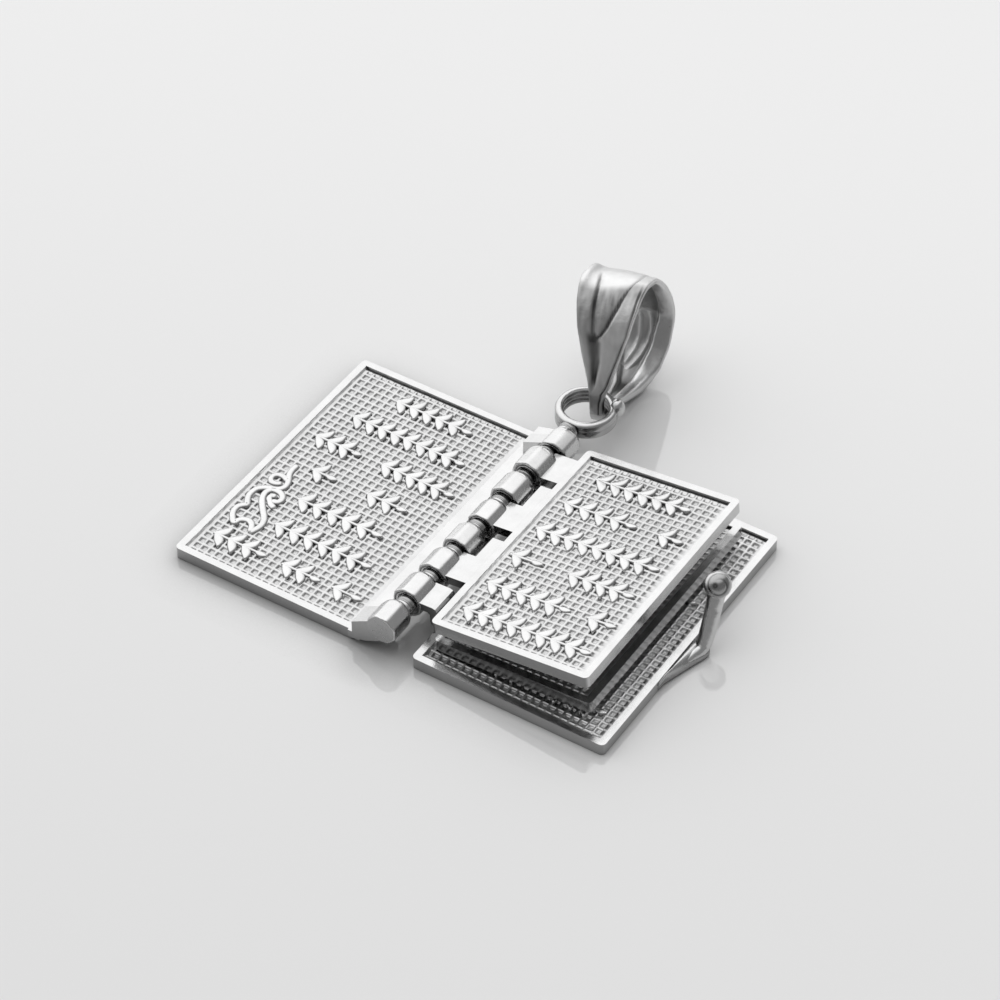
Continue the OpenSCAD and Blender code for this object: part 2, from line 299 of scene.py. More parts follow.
def waffle(name, body, place, x0, x1, y0, y1, floor, height, pitch, phase, seed, shade=None):
    """closed plate whose top is a square grid of ridges; it fills a recess"""
    def marks(a, b, ph, near, far):
        vals = [a] + [a + v for v in near] + [b - v for v in far] + [b]
        k = math.floor((a - ph) / pitch) - 1
        while ph + k * pitch < b + pitch:
            for u in LINES:
                v = ph + (k + u) * pitch
                if a + near[-1] + 0.01 < v < b - far[-1] - 0.01:
                    vals.append(v)
            k += 1
        return sorted(vals)
    xs = marks(x0, x1, phase[0], (0.03, 0.11, 0.15, 0.20), (0.06, 0.28))
    ys = marks(y0, y1, phase[1], (0.06, 0.12), (0.12, 0.15, 0.22))

    def prof(v, ph):
        u = (v - ph) / pitch
        return cell_profile(u - round(u))
    rng = random.Random(seed)
    off = Vector((rng.random() * 50, rng.random() * 50, rng.random() * 50))
    verts, nx, ny = [], len(xs), len(ys)
    for j, y in enumerate(ys):
        for i, x in enumerate(xs):
            h = max(prof(x, phase[0]), prof(y, phase[1]))
            # a plain ledge all round, a narrow gutter along the far wall and a cove along the free one
            if x1 - x < 0.29 or y - y0 < 0.13 or x - x0 < 0.18 or y1 - y < 0.23:
                h = max(h, 0.92)
            if y1 - y < 0.13:
                h = 0.1
            if x - x0 < 0.15:
                h += (0.245 / height - h) * lerp_table(x - x0, [(0.0, 1.0), (0.03, 0.90), (0.11, 0.06), (0.15, 0.0)]) \
                    * (1 + 0.5 * noise.noise(Vector((y * 2.6, 0, 21)) + off))
            w = noise.noise(Vector((x * 1.3, y * 1.3, 0)) + off)
            w2 = noise.noise(Vector((x * 5.1, y * 5.1, 3)) + off)
            dx = 0.018 * noise.noise(Vector((x * 2.2, y * 2.2, 7)) + off) if 0 < i < nx - 1 else 0
            dy = 0.018 * noise.noise(Vector((x * 2.2, y * 2.2, 11)) + off) if 0 < j < ny - 1 else 0
            z = floor + 0.01 + height * h * (1 + 0.12 * w) + 0.012 * w2 + 0.006
            verts.append(place(x + dx, y + dy, z))
    faces = [(j * nx + i, j * nx + i + 1, (j + 1) * nx + i + 1, (j + 1) * nx + i)
             for j in range(ny - 1) for i in range(nx - 1)]
    # skirt and underside, sunk into the recess's floor
    ring = [i for i in range(nx)] + [j * nx + nx - 1 for j in range(1, ny)] \
        + [(ny - 1) * nx + i for i in range(nx - 2, -1, -1)] + [j * nx for j in range(ny - 2, 0, -1)]
    pts = [(xs[k % nx], ys[k // nx]) for k in ring]
    base = len(verts)
    verts += [place(px, py, floor - 0.03) for px, py in pts]
    m = len(ring)
    faces += [(ring[k], base + k, base + (k + 1) % m, ring[(k + 1) % m]) for k in range(m)]
    faces.append(tuple(range(base, base + m)))
    dark = [shade(x, y) for y in ys for x in xs] + [0.0] * m if shade else None
    return new_object(name, verts, faces, M_GRID, body, painted_shade=dark)


# ---------------------------------------------------------------- raised strokes
def stroke_mesh(path, widths, base, top, verts, faces, place, dark):
    """adds one closed rounded bead along path (x, y in mm) from height base to top"""
    n = len(path)
    sec = 8                                   # points over the half round
    start = len(verts)
    dirs = []
    for i in range(n):
        a, b = path[max(i - 1, 0)], path[min(i + 1, n - 1)]
        d = Vector((b[0] - a[0], b[1] - a[1]))
        dirs.append(d.normalized() if d.length > 1e-9 else Vector((1, 0)))
    stations = []
    # rounded start, body, rounded end
    for k, f in ((0.0, 0.10), (0.35, 0.62), (0.7, 0.92)):
        w = widths[0]
        p = Vector(path[0]) - dirs[0] * (w / 2) * (1 - k)
        stations.append((p, dirs[0], w * f, 0.35 + 0.65 * f))
    for i in range(n):
        stations.append((Vector(path[i]), dirs[i], widths[i], 1.0))
    for k, f in ((0.7, 0.92), (0.35, 0.62), (0.0, 0.10)):
        w = widths[-1]
        p = Vector(path[-1]) + dirs[-1] * (w / 2) * (1 - k)
        stations.append((p, dirs[-1], w * f, 0.35 + 0.65 * f))
    for p, d, w, hf in stations:
        side = Vector((-d.y, d.x))
        for s in range(sec):
            a = math.pi * s / (sec - 1)
            ca, sa = math.cos(a), math.sin(a)
            u = math.copysign(abs(ca) ** 0.75, ca) * w / 2 * (1.12 - 0.12 * sa)
            z = base + (top - base) * hf * (abs(sa) ** 0.5)
            q = p + side * u
            verts.append(place(q.x, q.y, z))
            # painted shade along the foot of each bead, on its two lowest points each side
            dark.append((0.75, 0.55, 0.0)[min(s, sec - 1 - s, 2)])
    m = len(stations)
    for i in range(m - 1):
        for s in range(sec):
            a = start + i * sec + s
            b = start + i * sec + (s + 1) % sec
            faces.append((a, b, b + sec, a + sec))
    faces.append(tuple(start + s for s in range(sec - 1, -1, -1)))
    faces.append(tuple(start + (m - 1) * sec + s for s in range(sec)))


def leaf(p, angle, length, width):
    """a pointed leaf as a path with its widths"""
    c, si = math.cos(angle), math.sin(angle)
    bend = -0.12 * length * math.copysign(1.0, angle) if angle else 0.0
    pts, ws = [], []
    for i in range(9):
        t = i / 8
        b = bend * math.sin(math.pi * t)
        pts.append((p[0] + c * length * t - si * b, p[1] + si * length * t + c * b))
        ws.append(width * (0.16 + 0.84 * math.sin(math.pi * min(0.10 + t * 0.86, 1.0)) ** 0.8))
    return pts, ws


def garland(x0, x1, y0, y1, rng):
    """a laurel branch between x0 and x1: a stem, pairs of full leaves along it and one at its tip"""
    yc, tall = (y0 + y1) / 2, y1 - y0
    pairs = max(1, round((x1 - x0 - 0.75) / 0.92))
    gap = (x1 - x0 - 0.75) / pairs
    out = [([(x0 + (x1 - x0 - 0.5) * i / 6, yc) for i in range(7)], [0.20] * 7)]
    for k in range(pairs):
        x = x0 + gap * (k + 0.10)
        j = rng.uniform(-0.05, 0.05)
        w = 0.58 + rng.uniform(-0.03, 0.03)
        out.append(leaf((x, yc + 0.03), math.radians(50) + j, tall * 0.72, w))
        out.append(leaf((x + gap * 0.06, yc - 0.03), -math.radians(50) + j, tall * 0.72, w))
    out.append(leaf((x1 - 0.68, yc), 0.0, 0.66, 0.42))
    return out


def relief_rows(name, body, place, rows, base, top, seed, extra=()):
    rng = random.Random(seed)
    verts, faces, dark = [], [], []
    for x0, x1, y0, y1 in rows:
        for pts, ws in garland(x0, x1, y0, y1, rng):
            stroke_mesh(pts, ws, base, top + rng.uniform(-0.012, 0.012), verts, faces, place, dark)
    for pts, w in extra:
        pts = [tuple(p) for p in catmull(pts, 5)]
        stroke_mesh(pts, [w * 1.65] * len(pts), base, top, verts, faces, place, dark)
    return new_object(name, verts, faces, M_RELIEF, body, painted_shade=dark)


FLOOR_Z = COVER_T - FIELD_D                        # 0.49
GRID_H = 0.13
waffle("front_cover_grid", "front_cover", FLAT, -14.16 + RIM, -2.26, -9.07, 9.07, FLOOR_Z, GRID_H, 0.497, (-13.50, -8.80), 1)
# painted shade on the back cover's near rows under the leaves, fading out towards its right end
waffle("back_cover_grid", "back_cover", FLAT, 2.29, 14.16 - RIM, -9.07, 9.07, FLOOR_Z, GRID_H, 0.497, (2.60, -8.80), 2,
       lambda x, y: 0.50 * (1 - step(-8.2, -7.2, y)) * (1 - step(10.6, 12.2, x)))
waffle("leaf_upper_grid", "leaf_upper", UPPER, 2.76, 11.95, -7.77, 7.77, UP_TOP - FIELD_D, GRID_H, 0.491, (3.0, -7.5), 3)
waffle("leaf_lower_grid", "leaf_lower", LOWER, 2.86, 12.05, -7.77, 7.77, LOW_TOP - FIELD_D, GRID_H, 0.491, (3.1, -7.5), 4)

FRONT_ROWS = [(-10.5, -5.2, 6.85, 8.15), (-11.9, -4.1, 4.35, 5.7), (-12.8, -9.6, 1.8, 3.2), (-8.2, -3.2, 1.8, 3.2),
              (-11.3, -9.6, -0.7, 0.7), (-7.5, -4.8, -0.7, 0.7), (-10.6, -4.8, -3.15, -1.75),
              (-10.5, -3.9, -5.55, -4.15), (-13.0, -9.4, -7.95, -6.6), (-8.3, -5.7, -7.95, -6.6), (-4.9, -2.9, -7.95, -6.6)]
SCROLL = [
    ([(-12.26, -0.26), (-12.275, -0.66), (-12.18, -1.07), (-11.99, -1.41), (-11.84, -1.73), (-11.81, -2.04), (-11.93, -2.29),
      (-12.21, -2.48), (-12.56, -2.60), (-12.87, -2.79), (-13.09, -3.04), (-13.16, -3.35), (-13.14, -3.73), (-12.99, -4.07), (-12.78, -4.38)], 0.25),
    ([(-12.78, -4.38), (-12.96, -4.54), (-13.14, -4.79), (-13.16, -5.10), (-13.06, -5.41), (-12.84, -5.73), (-12.62, -5.93), (-12.50, -5.92)], 0.25),
    ([(-12.50, -5.92), (-12.45, -5.69), (-12.24, -5.49), (-11.93, -5.41), (-11.65, -5.54), (-11.49, -5.76), (-11.37, -6.02)], 0.25),
    ([(-12.03, -1.50), (-12.34, -1.37), (-12.68, -1.39), (-12.90, -1.60), (-12.90, -1.88), (-12.71, -2.08), (-12.43, -2.08), (-12.20, -1.96)], 0.23),
    ([(-12.34, -2.66), (-12.45, -2.85), (-12.475, -3.10), (-12.37, -3.475), (-12.12, -3.85), (-11.81, -4.225), (-11.49, -4.57), (-11.24, -4.91),
      (-11.12, -5.29), (-11.15, -5.66), (-11.27, -6.0)], 0.26),
    ([(-12.34, -2.63), (-12.06, -2.55), (-11.74, -2.57), (-11.46, -2.76), (-11.34, -3.04), (-11.43, -3.29), (-11.68, -3.38)], 0.25),
    ([(-11.87, -2.98), (-12.02, -3.07), (-12.02, -3.29), (-11.84, -3.475), (-11.65, -3.66), (-11.40, -3.76)], 0.24)]
LEAF_ROWS = [(4.1, 10.3, 5.5, 6.9), (3.5, 8.3, 2.95, 4.35), (9.7, 11.3, 2.95, 4.35), (3.3, 11.3, 0.4, 1.8),
             (3.2, 5.3, -2.1, -0.7), (7.0, 11.2, -2.1, -0.7), (3.3, 8.7, -4.65, -3.25), (9.8, 11.6, -4.65, -3.25),
             (3.3, 11.5, -7.05, -5.65)]
relief_rows("front_cover_relief", "front_cover", FLAT, FRONT_ROWS, FLOOR_Z - 0.02, COVER_T - 0.01, 11, extra=SCROLL)
relief_rows("leaf_upper_relief", "leaf_upper", UPPER, LEAF_ROWS, UP_TOP - FIELD_D - 0.02, UP_TOP - 0.01, 12)
relief_rows("leaf_lower_relief", "leaf_lower", LOWER, [(a + 0.1, b + 0.1, c, d) for a, b, c, d in LEAF_ROWS],
            LOW_TOP - FIELD_D - 0.02, LOW_TOP - 0.01, 13)
relief_rows("back_cover_relief", "back_cover", FLAT, [(-b, -a, c, d) for a, b, c, d in FRONT_ROWS],
            FLOOR_Z - 0.02, COVER_T - 0.01, 14)

# ---------------------------------------------------------------- knuckles
LIFT = (-0.10, -0.09, -0.08, -0.06, -0.12, 0.0, 0.05, -0.10)
EASE = (0.12, -0.06, 0.0, 0.06, 0.04, -0.05, -0.06, 0.10)


def knuckle(k, body, place, r, turn, seed):
    """skin over one hinge barrel: soft uneven flats, a turned near face, and a far end
    rounded down to a grooved neck"""
    y0 = -9.6 + (k - 1) * 2.4 + 0.08 - (0.1 if k == 1 else 0.0)
    y1 = -9.6 + k * 2.4 - 0.08
    off = 0.26 if k == 8 else 0.08 if k == 7 else 0.020 * (y0 + y1) / 2
    rng = random.Random(seed)
    length = y1 - y0
    e = length - EASE[k - 1] + 0.012
    # rows of (distance from the near face, radius, painted shade, on the neck); the painted shade darkens the near
    # face, its turned grooves and the neck between the knuckles
    if k == 1:
        prof = [(-0.012, r * f, 0.42, False) for f in (0.0001, 0.3, 0.6, 0.80, 0.90)]
    else:
        prof = [(0.05, 0.41, 0.8, True), (-0.012, 0.43, 0.5, True), (-0.012, 0.56, 0.15, True), (0.016, 0.60, 0.5, True),
                (-0.012, 0.64, 0.08, True), (-0.012, 0.70, 0.05, False), (0.018, 0.745, 0.45, False),
                (-0.012, 0.79, 0.0, False)]
    prof += [(-0.010, r - 0.060, 0.06, False), (0.006, r - 0.035, 0.0, False), (0.035, r - 0.010, 0.0, False), (0.07, r, 0.0, False)]
    prof += [(0.07 + (e - 0.95 - 0.07) * i / 6, r, 0.0, False) for i in range(1, 7)]
    prof += [(e - 0.84, r - 0.004, 0, False), (e - 0.75, r - 0.018, 0, False), (e - 0.66, r - 0.042, 0, False),
             (e - 0.58, r - 0.078, 0, False), (e - 0.50, r - 0.122, 0, False), (e - 0.44, r - 0.172, 0.03, False),
             (e - 0.38, r - 0.236, 0.03, False), (e - 0.33, r - 0.31, 0.10, False), (e - 0.295, r - 0.37, 0.35, False)]
    neck = length - (e - 0.27)
    prof += [(e - 0.28, 0.615, 0.5, True), (e - 0.27 + neck * 0.20, 0.618, 0.46, True), (e - 0.27 + neck * 0.36, 0.605, 0.7, True),
             (e - 0.27 + neck * 0.50, 0.618, 0.44, True), (e - 0.27 + neck * 0.80, 0.616, 0.48, True),
             (length + 0.008, 0.60, 0.8, True), (length + 0.008, 0.52, 0.9, True), (length - 0.04, 0.42, 1.0, True)]
    lumps = [rng.uniform(-1, 1) for _ in range(8)]
    segs, m = 72, len(prof)
    verts, faces, dark = [], [], []
    for i in range(segs):
        a = 2 * math.pi * i / segs
        ph = (math.degrees(a) - turn) % 45.0
        face = int(((math.degrees(a) - turn) % 360) // 45)
        flat = min(0.995, 0.945 / math.cos(math.radians(ph - 22.5)))
        for yo, rr, t, neck_ in prof:
            cx, cz = (0.0, 0.0) if neck_ else (off, LIFT[k - 1])
            if rr > 0.66 and not neck_ and not (k == 1 and rr < r * 0.7):
                n = noise.noise(Vector((math.cos(a) * 1.4, math.sin(a) * 1.4, (y0 + yo) * 0.9 + seed * 3.1)))
                share = min(1.0, (rr - 0.5) / (r - 0.5))
                rr = rr * (1 - (1 - flat) * share * (1 + 0.12 * lumps[face])) + 0.013 + 0.010 * n
            verts.append(place(AX_X + cx + rr * math.cos(a), y0 + yo, cz + rr * math.sin(a)))
            dark.append(t)
    for i in range(segs):
        j = (i + 1) % segs
        for q in range(m - 1):
            faces.append((i * m + q, j * m + q, j * m + q + 1, i * m + q + 1))
        if k != 1:
            faces.append((i * m + m - 1, j * m + m - 1, j * m, i * m))
    return new_object("knuckle_%d" % k, verts, faces, M_KNUCKLE, body, painted_shade=dark)


def on_cover(x, y, z):
    return H(x, y, AX_Z + z)


for k_, body_, place_, r_, turn_ in ((1, "front_cover", on_cover, 0.94, 22), (2, "leaf_lower", LOWER, 0.95, 34),
                                     (3, "leaf_upper", UPPER, 0.95, 36), (4, "back_cover", on_cover, 0.95, 38),
                                     (5, "leaf_upper", UPPER, 0.92, 33), (6, "leaf_lower", LOWER, 0.98, 38),
                                     (7, "leaf_upper", UPPER, 1.01, 2), (8, "front_cover", on_cover, 0.98, 4)):
    knuckle(k_, body_, place_, r_, -turn_, 20 + k_)


# ---------------------------------------------------------------- hook
def hook():
    """skin over the latch wire: it swells from the flat tongue to a rolled catch, grooved along its length"""
    fx = 14.16
    path = catmull([(fx + 0.12, -2.30, 0.36), (fx + 0.26, -1.50, 0.38), (fx + 0.42, -0.75, 0.42), (fx + 0.58, -0.20, 0.52),
                    (fx + 0.61, 0.22, 0.98), (fx + 0.57, 0.70, 1.75), (fx + 0.51, 1.10, 2.42), (fx + 0.44, 1.45, 3.02),
                    (fx + 0.38, 1.72, 3.45)], 8)
    verts, faces, dark = [], [], []
    n, sec = len(path), 32
    for i, p in enumerate(path):
        a, b = Vector(path[max(i - 1, 0)]), Vector(path[min(i + 1, n - 1)])
        t = (b - a).normalized()
        side = t.cross(Vector((0.3, -0.5, 1)).normalized()).normalized()
        nrm = side.cross(t).normalized()
        w = lerp_table(i / (n - 1), [(0, 0.16), (0.14, 0.29), (0.34, 0.40), (0.5, 0.45), (0.8, 0.48), (1.0, 0.54)])
        for s_ in range(sec):
            f = 2 * math.pi * s_ / sec
            groove = math.exp(-((f - 5.5) / 0.16) ** 2) + 0.6 * math.exp(-((f - 2.5) / 0.18) ** 2)
            rr = w * (1 - 0.07 * groove + 0.04 * noise.noise(Vector((i * 0.35, math.cos(f), math.sin(f)))))
            q = Vector(p) + side * math.cos(f) * rr + nrm * math.sin(f) * rr
            verts.append(H(*q))
            # painted shade in the grooves and, from about the middle of the wire on, along one side of it
            dark.append(min(0.65 * groove + 0.38 * max(0.0, -math.cos(f - 0.5)) ** 2 * step(0.35, 0.5, i / n), 1.0))
    for i in range(n - 1):
        for s_ in range(sec):
            a, b = i * sec + s_, i * sec + (s_ + 1) % sec
            faces.append((a, b, b + sec, a + sec))
    faces.append(tuple(range(sec - 1, -1, -1)))
    faces.append(tuple((n - 1) * sec + s_ for s_ in range(sec)))
    # rolled catch: a thick turned lip round a spiral line that ends in a small eye
    c = Vector((fx + 0.33, 1.80, 3.63))
    look = Vector((0.46, -0.62, 0.62)).normalized()
    ux = look.cross(Vector((0, 0, 1))).normalized()
    uy = ux.cross(look)
    base, nu, nv = len(verts), 64, 44
    for j in range(nv + 1):
        t = math.pi * (j + 0.001) / (nv + 0.002)
        for i in range(nu):
            f = 2 * math.pi * i / nu
            d = look * math.cos(t) + (ux * math.cos(f) + uy * math.sin(f)) * math.sin(t)
            turn = ((t - 0.26) / 0.66 - f / (2 * math.pi)) % 1.0
            line = math.exp(-(min(turn, 1 - turn) / 0.13) ** 2) * step(0.40, 0.60, t) * (1 - step(1.05, 1.45, t))
            eye = math.exp(-(((d - (look + ux * 0.30).normalized()).length - 0.10) / 0.10) ** 2)
            rr = 0.775 * (1 - 0.055 * line - 0.04 * eye + 0.02 * noise.noise(d * 2.0))
            verts.append(H(*(c + d * rr)))
            # painted shade along the spiral line, in the eye, over the cap round the look axis and on the underside of
            # the catch
            low = max(0.0, -(d.z * 0.8 - d.x * 0.3))
            dark.append(min(0.40 * line + 0.50 * eye + 0.46 * (1 - step(0.80, 1.25, t)) + 0.40 * low, 1.0))
    for j in range(nv):
        for i in range(nu):
            a, b = base + j * nu + i, base + j * nu + (i + 1) % nu
            faces.append((a, b, b + nu, a + nu))
    faces.append(tuple(base + i for i in range(nu)))
    faces.append(tuple(base + nv * nu + i for i in range(nu - 1, -1, -1)))
    return new_object("hook_wire", verts, faces, M_WIRE, "back_cover", painted_shade=dark)


def tongue():
    """skin over the foot of the latch wire: a crest along the cover's edge that falls away to a
    soft outer side, splaying out towards the wire"""
    fx = 14.16
    # along the spine, outer foot, crest's x, crest's height
    rows = [(-3.80, 0.006, -0.01, 0.56), (-3.30, 0.05, 0.0, 0.72), (-3.10, 0.09, 0.03, 0.775), (-2.2, 0.37, 0.14, 0.80), (-1.15, 0.70, 0.26, 0.81),
            (-0.40, 0.96, 0.34, 0.81), (-0.12, 1.01, 0.38, 0.79), (0.02, 1.00, 0.42, 0.66), (0.16, 0.93, 0.46, 0.48), (0.27, 0.76, 0.50, 0.33)]
    verts, faces, dark = [], [], []
    n = 37
    for i in range(n):
        y = -3.80 + 4.07 * i / (n - 1)
        out, cx, top = (lerp_table(y, rows, c) for c in (1, 2, 3))
        left = max(-0.05, y + 0.16)
        wob = 0.010 * noise.noise(Vector((y * 2.5, 1.0, 6.0)))
        zz = min(0.36, top - 0.02)
        # the third values are painted shade: darker along the foot, up the soft outer side and in the seam at the inner
        # edge, none on the crest
        sec = [(left, 0.06, 0.6), (out, 0.06, 0.6), (out + 0.02, 0.20, 0.55), (out, zz, 0.48)]
        for f in (0.25, 0.5, 0.75):
            sec.append((out + (cx + 0.06 - out) * f + 0.05 * math.sin(math.pi * f) + wob, zz + (top - 0.03 - zz) * f, 0.46 - 0.3 * f))
        inner = max(left + 0.10, 0.10)
        sec += [(cx + 0.05, top - 0.015, 0.0), (cx, top, 0.0), (min(inner + 0.03, cx), top - 0.005, 0.0),
                (min(inner, cx - 0.01), top - 0.02, 0.2), (min(left + 0.07, cx - 0.02), top - 0.055, 0.8), (left, top - 0.055, 0.6)]
        for x, z, t in sec:
            verts.append(H(fx + max(x, left), y, z))
            dark.append(t)
    m = len(sec)
    for i in range(n - 1):
        for k in range(m):
            a, b = i * m + k, i * m + (k + 1) % m
            faces.append((a, b, b + m, a + m))
    faces.append(tuple(range(m - 1, -1, -1)))
    faces.append(tuple((n - 1) * m + k for k in range(m)))
    return new_object("hook_foot", verts, faces, M_KNUCKLE, "back_cover", painted_shade=dark)


hook()
tongue()

# ---------------------------------------------------------------- pin and ring
def lathe(profile, segs, place, verts, faces, dark):
    """closed ring or bar from (radius, height, painted shade) points; place maps (r cos, r sin, h)"""
    base, m = len(verts), len(profile)
    for k in range(segs):
        a = 2 * math.pi * k / segs
        ca, sa = math.cos(a), math.sin(a)
        verts.extend(place(r * ca, r * sa, h) for r, h, t in profile)
        dark.extend(max(0.0, t * (1 + 0.5 * noise.noise(Vector((ca * 2.4, sa * 2.4, h * 3.0))))) for r, h, t in profile)
    for k in range(segs):
        for i in range(m - 1):
            a, b = base + k * m + i, base + ((k + 1) % segs) * m + i
            faces.append((a, b, b + 1, a + 1))
        if profile[0] != profile[-1] and profile[0][0] > 1e-3:
            a, b = base + k * m + m - 1, base + ((k + 1) % segs) * m + m - 1
            faces.append((a, b, base + ((k + 1) % segs) * m, base + k * m))


def pin_and_ring():
    verts, faces, dark = [], [], []
    y0, y1 = -9.0 + 0.1, 9.87
    # the bar takes light painted shade, a little more along its length than at its ends
    bar = [(0.0001, y0, 0.1), (0.31, y0, 0.1), (0.35, y0 + 0.04, 0.1)] \
        + [(0.35, y0 + 0.04 + (y1 - y0 - 0.08) * k / 24, 0.2) for k in range(1, 24)] \
        + [(0.35, y1 - 0.04, 0.2), (0.31, y1, 0.2), (0.0001, y1, 0.2)]
    lathe(bar, 40, lambda a, b, h: H(AX_X + a, h, AX_Z + b), verts, faces, dark)
    cy, cz, ro, wall, hh = 11.43, 2.02, 1.83, 0.48, 0.50
    ri = ro - wall
    # the third value of each point is painted shade: inner wall, grooves, outer wall and underside darker, top bright
    # two shallow grooves round the inner wall and one round the outer wall
    inner = [(ri, -hh + 0.10, 0.55), (ri, -0.22, 0.50), (ri + 0.045, -0.16, 0.8), (ri, -0.10, 0.55), (ri, 0.08, 0.50),
             (ri + 0.05, 0.14, 0.8), (ri, 0.20, 0.55), (ri, 0.30, 0.60), (ri, hh - 0.12, 0.55)]
    outer = [(ro, hh - 0.17, 0.30), (ro, 0.06, 0.34), (ro - 0.02, 0.0, 0.45), (ro, -0.06, 0.34), (ro, -hh + 0.10, 0.40)]
    top = [(ri + 0.03, hh - 0.045, 0.25), (ri + 0.10, hh, 0.0), (ri + 0.20, hh + 0.012, 0.0), (ro - 0.18, hh, 0.0), (ro - 0.07, hh - 0.06, 0.12)]
    bottom = [(ro - 0.04, -hh + 0.03, 0.45), (ro - 0.11, -hh, 0.4), (ri + 0.11, -hh, 0.4), (ri + 0.03, -hh + 0.03, 0.5)]

    def place(a, b, h):
        r = math.hypot(a, b)
        w = 1.0 + 0.006 * noise.noise(Vector((a * 1.1, b * 1.1, 4.0))) / max(r, 0.1)
        return H(AX_X + a * w, cy + b * w, cz + h)
    lathe(inner + top + outer + bottom, 96, place, verts, faces, dark)
    # solder bead, a tall lumpy drop on the ring's outer side
    a0 = math.radians(33)
    bx, by, bz, br = AX_X + 1.82 * math.cos(a0), cy + 1.82 * math.sin(a0), cz + 0.30, 0.42
    base, nu, nv = len(verts), 32, 20
    for j in range(nv + 1):
        t = math.pi * (j + 0.001) / (nv + 0.002)
        for i in range(nu):
            f = 2 * math.pi * i / nu
            n = Vector((math.sin(t) * math.cos(f), math.sin(t) * math.sin(f), math.cos(t)))
            r = br * (1 + 0.07 * noise.noise(n * 1.7 + Vector((5, 1, 2))))
            verts.append(H(bx + r * n.x, by + r * n.y, bz + r * n.z * 1.45))
            dark.append(0.0)
    for j in range(nv):
        for i in range(nu):
            a, b = base + j * nu + i, base + j * nu + (i + 1) % nu
            faces.append((a, b, b + nu, a + nu))
    faces.append(tuple(base + i for i in range(nu)))
    faces.append(tuple(base + nv * nu + i for i in range(nu - 1, -1, -1)))
    ob = new_object("pin_and_ring", verts, faces, M_WIRE, "back_cover", painted_shade=dark)
    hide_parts("pin_with_ring")
    return ob


pin_and_ring()


# ---------------------------------------------------------------- bail
SIDE = [(-1.04, -0.35), (-0.88, -0.84), (-0.45, -1.08), (0.5, -1.14), (1.7, -1.46), (3.2, -1.86), (4.2, -1.68), (5.1, -1.12),
        (6.0, -0.4), (6.6, 0.5), (6.98, 1.25), (7.05, 2.0), (6.68, 3.25), (5.85, 4.7), (4.75, 5.95), (3.95, 6.42),
        (2.9, 6.72), (1.9, 6.5), (0.95, 5.75), (0.28, 4.75), (-0.14, 3.6), (-0.50, 2.5), (-0.80, 1.4), (-0.98, 0.5)]
EDGES = [(-2, -0.36, 0.44), (0.0, -0.36, 0.48), (0.55, -0.44, 0.80), (1.15, -0.62, 1.02), (1.9, -0.92, 1.30), (3.2, -1.42, 1.74),
         (4.8, -1.78, 1.95), (6.2, -2.0, 2.0), (10, -2.0, 2.0)]
# the front strap is a little wider low down
WIDER = [(19.0, 0.0, 0.0), (20.2, 0.10, 0.02), (21.2, 0.12, 0.05), (22.0, 0.07, 0.13), (22.6, 0.02, 0.06), (23.0, 0.0, 0.0)]
# lines on the front strap between its three petals: place along the band, x
LEFT_LINE = [(13.0, -1.10), (15.9, -0.88), (16.96, -0.72), (17.6, -0.68), (18.2, -0.61), (19.2, -0.50)]
RIGHT_LINE = [(13.0, 1.55), (15.4, 1.33), (16.1, 1.13), (17.0, 0.96), (17.6, 0.81), (18.1, 0.61), (18.7, 0.37), (19.15, 0.07), (19.4, -0.25), (19.6, -0.5)]
# hollow below the left petal: place along the band, centre, half width
HOLLOW = [(18.6, -0.75, 0.25), (19.5, -0.33, 0.42), (20.5, -0.14, 0.32), (21.4, -0.16, 0.16), (22.5, -0.20, 0.10)]
# above this place along the band the painted highlight of the crest starts, by x
CREST = [(-1.0, 17.05), (-0.4, 16.98), (0.3, 16.72), (1.0, 16.38), (1.6, 16.2)]
# painted shade of the outside along the band, light on the crest as a painted highlight, counted from the crest's edge
# as 17
OUT_TONE = [(0.0, 0.10), (2.0, 0.30), (13.3, 0.30), (14.6, 0.10), (15.6, 0.04), (16.5, 0.08), (16.95, 0.56), (17.5, 0.66), (18.2, 0.54), (19.0, 0.38),
            (19.8, 0.24), (20.8, 0.26), (22.0, 0.38), (23.2, 0.42), (24.0, 0.42)]
# inside of the back strap: inner side of its rounded right rim, and two ridges
RIM_LINE = [(3.6, 0.10), (4.75, 0.16), (6.3, 0.42), (7.0, 0.60), (7.7, 0.77), (8.6, 0.84), (9.7, 0.99), (11.8, 1.10), (14.0, 1.4)]
RIDGE_A = [(6.3, -0.28), (6.8, 0.15), (7.3, 0.43), (8.1, 0.66), (8.9, 0.77), (9.8, 0.66), (10.6, 0.45)]
RIDGE_B = [(6.5, -0.55), (7.0, -0.30), (7.6, -0.05), (8.5, 0.08), (9.6, -0.02), (10.6, -0.2)]


